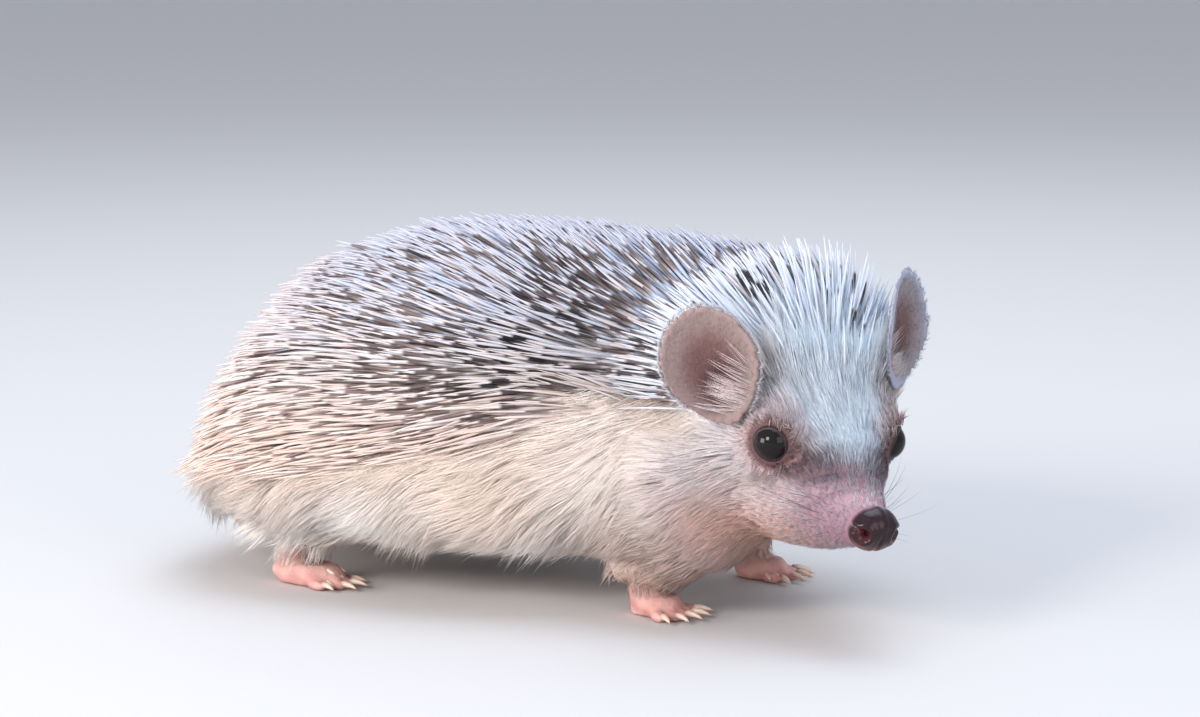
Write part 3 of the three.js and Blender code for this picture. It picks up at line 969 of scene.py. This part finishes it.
# ---- Eyes ----
# Round, bulging and nearly black, wet all over, set in thin brown-pink lids with a darker corner ahead.
# Each lid is a thin ring that lies on the ball, from the rim of its opening to behind the skin.
EYE_RADIUS = 3.7
LID_STEPS, LID_RINGS, LID_DEPTH = 48, 12, 0.5
eye_surface, surface, start = material("eye", roughness=0.03, specular=0.2)
place = start.make("ShaderNodeTexCoord", out="Object")
cloud = start.make("ShaderNodeTexNoise", {"Vector": place, "Scale": 350.0, "Detail": 2.0})
brown = start.make(
    "ShaderNodeMix", {"Factor": cloud, "A": (0.005, 0.005, 0.007, 1), "B": (0.014, 0.010, 0.009, 1)},
    out="Result", data_type="RGBA",
)
start.feed(surface.inputs["Base Color"], brown)
lid_surface = painted("eyelid", 1500, 0.25, roughness=0.42, specular=0.4, subsurface=0.2)
for side, sign in SIDES:
    ball = bmesh.new()
    bmesh.ops.create_uvsphere(ball, u_segments=40, v_segments=24, radius=EYE_RADIUS * MM)
    bmesh.ops.translate(ball, verts=ball.verts, vec=Vector(EYES[side] * MM))
    mesh = mesh_of(f"eyeball_{side}", ball)
    finish_piece(new_object(mesh, eye_surface), "eye", f"eye_{side}")

    gaze = gaze_of(sign)
    toward_nose = unit(head_ahead - (head_ahead @ gaze) * gaze)
    over = np.cross(gaze, toward_nose) * sign
    phi = np.arange(LID_STEPS) * 2 * math.pi / LID_STEPS
    corner = np.maximum(np.cos(phi), 0) ** 6
    opening = np.radians(55 + 8 * corner - 2.0 * np.abs(np.sin(phi)))
    share = np.linspace(0, 1, LID_RINGS)[:, None]
    polar = opening + (math.radians(98) - opening) * share
    puff = np.sin(math.pi * np.clip(share * 2.2, 0, 1)) ** 0.7
    reach = EYE_RADIUS + 0.03 + 0.24 * puff * (1 - 0.4 * corner) - 0.6 * np.maximum(share - 0.6, 0)
    rim = (
        np.cos(polar)[..., None] * gaze
        + (np.sin(polar) * np.cos(phi))[..., None] * toward_nose
        + (np.sin(polar) * np.sin(phi))[..., None] * over
    )
    lids = bmesh.new()
    outer = EYES[side] + rim * reach[..., None]
    inner = EYES[side] + rim[[0, -1]] * (EYE_RADIUS - LID_DEPTH)
    rings = [[lids.verts.new(Vector(spot * MM)) for spot in ring] for ring in (*outer, *inner)]
    rings = [rings[-2], *rings[:-2], rings[-1], rings[-2]]
    for one, two in zip(rings, rings[1:]):
        for k in range(LID_STEPS):
            n = (k + 1) % LID_STEPS
            lids.faces.new((one[k], one[n], two[n], two[k]))
    bmesh.ops.recalc_face_normals(lids, faces=lids.faces)
    mesh = mesh_of(f"eyelids_{side}", lids)
    edge = np.concatenate([np.repeat(share.ravel(), LID_STEPS), np.zeros(LID_STEPS), np.ones(LID_STEPS)])
    forward = near(coordinates(mesh), EYES[side] + gaze * 2 + toward_nose * 4, 3.4)
    colours = mix(tone(34, 24, 28), tone(100, 68, 68), fade(edge, 0.12, 0.5))
    set_tint(mesh, mix(colours, tone(48, 34, 38), 0.8 * forward))
    finish_piece(new_object(mesh, lid_surface), "face_fur")

# ---- Nose pad ----
# A moist, grained, dark maroon pad with comma-shaped nostrils at its sides and a groove down the middle.
# It is a ball, pressed in and raised by shares of its own radius, with the skin closing round its back.
NOSE_HALF = np.array([4.2, 5.1, 4.5])
nose_surface = painted("nose", 2600, 0.22, roughness=0.2, specular=0.16, coat=0.3)
pad = bmesh.new()
bmesh.ops.create_uvsphere(pad, u_segments=96, v_segments=64, radius=1)
mesh = mesh_of("nose_pad", pad)
ball = coordinates(mesh) * MM
ball = np.column_stack([ball[:, 2], ball[:, 0], ball[:, 1]])
ahead, across, above = ball.T
folded = both_sides(ball)
from_nostril = (folded - unit((0.66, 0.7, 0.14))) / (0.27, 0.22, 0.25)
from_nostril = np.sqrt((from_nostril**2).sum(1))
nostril = np.exp(-(from_nostril**3))
from_slit = (folded - unit((0.25, 0.95, 0.22))) / (0.34, 0.3, 0.12)
slit = np.exp(-((from_slit**2).sum(1) ** 1.5))
groove = np.exp(-((across / 0.07) ** 2)) * fade(ahead, 0.0, 0.5) * fade(above, 0.55, -0.1)
wing = np.exp(-(((from_nostril - 1.75) / 0.6) ** 2))
dip = np.exp(-(((folded[:, 1] - 0.3) / 0.14) ** 2)) * fade(above, 0.2, 0.6)
reach = 1 - 0.42 * nostril - 0.2 * slit - 0.09 * groove + 0.05 * wing - 0.04 * dip
reach -= 0.05 * fade(ahead, 0.75, 1.0)
place_vertices(mesh, from_head(ball * reach[:, None] * NOSE_HALF + to_head(NOSE[None])[0]))
colours = layered(
    mix(tone(38, 19, 26), tone(104, 62, 60), fade(above, -0.1, -0.75)),
    nostril=((98, 48, 50), np.clip(1.2 * nostril + 0.5 * slit, 0, 1)),
    # Deep in each nostril the pad is painted nearly black: painted shade in the opening.
    nostril_depth=((34, 10, 12), fade(nostril, 0.45, 0.9)),
    lip=((170, 124, 126), fade(above, -0.7, -1.0) * 0.6),
    back=((158, 120, 132), fade(ahead + 0.3 * above, 0.1, -0.35)),
)
set_tint(mesh, colours)
finish_piece(new_object(mesh, nose_surface), "nose_skin", "nose")

# ---- Ears ----
# Thin rounded leaves of velvety taupe skin, cupped, with a hollow low at the front edge painted dark maroon
# # with painted shade, a fringe of fine pale hair round the rim and longer hair over the front. The left
# one is
# # painted greyer and bluer, with a bluer rim: painted cool light and a painted rim highlight.
RIM_HAIRS, VELVET_HAIRS = 2000, 1900
GUARD_TUFTS = {"left": 14, "right": 44}
GUARD_SHARE = {"left": 0.7, "right": 1}
ear_surface = painted("ear", 1400, 0.3, roughness=0.65, specular=0.2, subsurface=0.05, sheen=0.1)
fringe_surface = painted("ear_hair", roughness=0.6, specular=0.2, sheen=0.2)
for seed, (side, sign) in enumerate(SIDES, 61):
    leaf = shell_of(f"leaf_{side}", [f"ear_{side}"], swell=0.0, voxel=0.36, rounds=3)
    mesh = mesh_of(f"pinna_{side}", leaf)
    points, outward = coordinates(mesh), normals_of(mesh)
    centre = points.mean(0)
    opening, wide, up = axes = leaf_axes(points, sign)
    toward_face = -np.sign(wide @ head_left * sign)
    local = (points - centre) @ axes.T
    size = np.abs(local).max(0)
    shown = local / size
    inside = fade(outward @ opening, 0.1, 0.5)
    from_hollow = ((shown[:, 1] - toward_face * 0.18) / 0.45) ** 2 + ((shown[:, 2] + 0.38) / 0.5) ** 2
    hollow = inside * np.exp(-from_hollow)
    radial = np.sqrt(shown[:, 1] ** 2 + shown[:, 2] ** 2)
    rim = fade(radial, 0.78, 0.97)
    points = points - opening * (0.5 * hollow)[:, None]
    points = points + outward * (0.25 * rim)[:, None]
    place_vertices(mesh, points)
    # The left ear is painted greyer and bluer, with a bluer rim: painted cool light and a painted rim
    # highlight.
    blue = side == "left"
    colours = layered(
        mix(tone(134, 122, 126), tone(138, 119, 116), inside),
        inner=((108, 78, 76), inside * fade(radial, 0.85, 0.3)),
        # The hollow is painted dark: painted shade in the recess.
        hollow=((60, 32, 36), hollow**1.2),
        rim=((152, 129, 125), 0.7 * rim),
        grey=((140, 142, 156), 0.5 * blue * fade(radial, 0.2, 0.9)),
        blue_rim=((158, 170, 194), 0.6 * blue * rim),
    )
    set_tint(mesh, colours)
    finish_piece(new_object(mesh, ear_surface), "ear_skin", f"ear_{side}")

    rng = np.random.default_rng(seed)
    on_rim = np.flatnonzero((np.abs(outward @ opening) < 0.6) & (shown[:, 2] > -0.75))
    picked = [rng.choice(on_rim, RIM_HAIRS), rng.choice(np.flatnonzero(radial < 0.97), VELVET_HAIRS)]
    picked = np.concatenate(picked)
    root, normal, base = points[picked], outward[picked], colours[picked]
    count = len(root)
    heading = root - (centre - up * size[2] * 0.8) + rng.normal(0, 1.6, root.shape)
    heading = along_skin(heading, normal)
    fringe = np.arange(count) < RIM_HAIRS
    length = np.where(fringe, rng.uniform(0.5, 1.7, count), rng.uniform(0.6, 1.1, count))
    angle = np.radians(np.where(fringe, rng.uniform(30, 65, count), rng.uniform(12, 22, count)))
    pale = mix(base, tone(226, 228, 236), np.where(fringe, 0.72, 0.25))
    base = mix(base, pale, np.where(fringe, 0.6, 0.0))
    tints = np.stack([base, mix(base, pale, np.full(count, 0.6)), pale], 1)
    flat = (root - centre) @ np.array([wide, up]).T / (2.3 * size[2]) + 0.5
    hair = strands(
        f"ear_fringe_{side}", fringe_surface, root + normal * 0.2, normal, heading, length,
        np.where(fringe, 0.036, 0.03), angle, (1, 0.7), tints, 0.02 + 0.93 * flat,
    )
    finish_piece(hair, "ear_skin")

    front_edge = near(shown[:, 1:], (0.75 * toward_face, -0.5), 0.7) * fade(radial, 0.6, 0.85) * inside
    grown = rng.choice(len(points), GUARD_TUFTS[side], p=front_edge / front_edge.sum())
    root = points[grown]
    climb = fade(shown[grown, 2], -0.9, 0.1)[:, None]
    heading = up * (0.2 + 0.5 * climb) - wide * toward_face + rng.normal(0, 0.16, root.shape)
    heading = unit(heading - (heading @ opening)[:, None] * opening)
    over_leaf = np.tile(opening, (len(root), 1))
    root, over_leaf, heading, lean = tufted(rng, root, over_leaf, heading, 4, 0.35, 0.5)
    count = len(root)
    length = rng.uniform(4.5, 9, count) * GUARD_SHARE[side]
    heading = unit(heading + lean / length[:, None])
    pale = mix(tone(206, 178, 172), tone(238, 228, 228), rng.random(count))
    guard = strands(
        f"ear_guard_hair_{side}", fringe_surface, root, over_leaf, heading, length, 0.05,
        np.radians(rng.uniform(8, 26, count)), (1, 0.85, 0.6), np.stack([pale * 0.85, pale, pale, pale], 1),
        unwrap(root),
    )
    finish_piece(guard, "ear_skin")

# ---- Claws ----
# Pale horn, curved and blunt. One stands at the end of each toe, five on a front foot and four on a hind
# foot. Corners of the foot further back get one too: these 31 lie mostly in the flesh, and a few show.
CLAW_LENGTH, CLAW_RADIUS, CLAW_SPACING = 4.4, 0.72, 2.0
OUTER_FOOT = 0.66
claw_surface = painted("claw", roughness=0.32, specular=0.5)
tips, ways = [], []
for foot in FEET:
    foot_corners = coordinates(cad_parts[f"foot_{foot}"].data)
    ankle = middle_of(f"leg_{foot}")
    ankle[2] = 0
    span = np.linalg.norm((foot_corners - ankle)[:, :2], axis=1)
    for i in np.argsort(-span, kind="stable"):
        if span[i] < OUTER_FOOT * span.max():
            break
        if all(np.linalg.norm(foot_corners[i] - t) > CLAW_SPACING for t in tips):
            tips.append(foot_corners[i])
            ways.append(unit((foot_corners[i] - ankle) * (1, 1, 0)))
tips, ways = np.array(tips), np.array(ways)
upright = np.tile([0, 0, 1.0], (len(tips), 1))
claw_root = tips - ways * (CLAW_LENGTH - 0.7) + upright * 0.75
horn = tone(214, 188, 170)
tints = np.tile(np.stack([horn * 0.75, horn * 0.85, horn, horn * 1.05, horn * 1.1]), (len(tips), 1, 1))
claws = strands(
    "claws", claw_surface, claw_root, upright, ways, CLAW_LENGTH, CLAW_RADIUS, math.radians(12),
    (1, 0.95, 0.75, 0.45), tints, 0.05 + 0.9 * (tips[:, :2] - tips[:, :2].min(0)) / 120, sides=10,
    droop=0.42, settle=-0.6,
)
finish_piece(claws, "bare_skin")

# ---- Whiskers ----
# A few long, thin, dusky hairs, paler at their tips. They stand out of the whisker pad on each side of
# the snout and sweep back.
WHISKERS, WHISKER_SPACING, WHISKER_RADIUS = 30, 1.5, 0.05
whisker_surface = painted("whisker", roughness=0.4, specular=0.4)
rng = np.random.default_rng(71)


def whisker_where(p, n):
    folded = both_sides(to_head(p))
    return near(folded, (14, 6, -6), 5) * (folded[:, 1] > 3)


root, normal = roots(whisker_where, WHISKERS, rng, spacing=WHISKER_SPACING)
heading = along_skin(unit(normal * 0.6 - head_ahead * 0.9 + rng.normal(0, 0.16, root.shape)), normal)
count = len(root)
length = rng.uniform(9, 20, count)
dusky = mix(tone(70, 56, 56), tone(150, 130, 124), rng.random(count))
tints = np.stack([dusky] * 4 + [dusky * 1.3], 1)
whiskers = strands(
    "whiskers", whisker_surface, root, normal, heading, length, WHISKER_RADIUS,
    np.radians(rng.uniform(35, 60, count)), (1, 0.85, 0.65, 0.4), tints, unwrap(root),
    droop=0.3, settle=0.4,
)
finish_piece(whiskers, "face_fur")

# ---- Floor, light and camera ----
# A plain pale floor just under the soles, and soft studio lamps: a large one from the animal's right, cool
# light from above and warm light from low behind, with weaker ones at the far side and ahead.
FLOOR_GAP = 0.05
AZIMUTH, ELEVATION = math.radians(24), math.radians(9)
CAMERA_PLACE, CAMERA_LENS = (0.26787, -0.5863, 0.1495), 93.6
HEART = (0.02, -0.01, 0.04)
floor = bmesh.new()
bmesh.ops.create_grid(floor, x_segments=1, y_segments=1, size=6)
floor_surface, surface, start = material("floor", roughness=0.8, specular=0.2)
start.feed(surface.inputs["Base Color"], (0.60, 0.575, 0.56, 1))
ground = new_object(mesh_of("floor", floor), floor_surface)
ground.location.z = -FLOOR_GAP * MM

bpy.context.scene.view_settings.view_transform = "Standard"
world = bpy.data.worlds.new("studio")
bpy.context.scene.world = world
world.use_nodes = True
sky = world.node_tree.nodes["Background"]
sky.inputs["Color"].default_value = (0.80, 0.86, 1.0, 1)
sky.inputs["Strength"].default_value = 0.72
for name, place, target, size, power, colour in (
    ("key", (-0.25, -0.95, 0.5), HEART, 0.32, 7.5, (1.0, 0.965, 0.94)),
    ("top", (0.1, 0.1, 1.0), HEART, 0.7, 6.5, (0.70, 0.85, 1.0)),
    ("low", (-0.75, -0.7, 0.12), (-0.05, -0.03, 0.02), 0.5, 10.0, (1.0, 0.96, 0.92)),
    ("back", (-0.2, 0.6, 0.7), HEART, 0.5, 1.0, (0.95, 0.97, 1.0)),
    ("fill", (0.9, -0.5, 0.35), HEART, 0.6, 3.0, (1.0, 0.93, 0.88)),
):
    lamp = bpy.data.lights.new(name, "AREA")
    lamp.size, lamp.energy, lamp.color = size, power, colour
    light = in_scene(name, lamp)
    light.location = place
    light.rotation_euler = (Vector(target) - Vector(place)).to_track_quat("-Z", "Y").to_euler()

camera = in_scene("camera", bpy.data.cameras.new("camera"))
camera.data.lens = CAMERA_LENS
back = Vector((math.sin(AZIMUTH), -math.cos(AZIMUTH), math.tan(ELEVATION))).normalized()
camera.location = CAMERA_PLACE
camera.rotation_mode = "QUATERNION"
camera.rotation_quaternion = (-back).to_track_quat("-Z", "Y")
bpy.context.scene.camera = camera
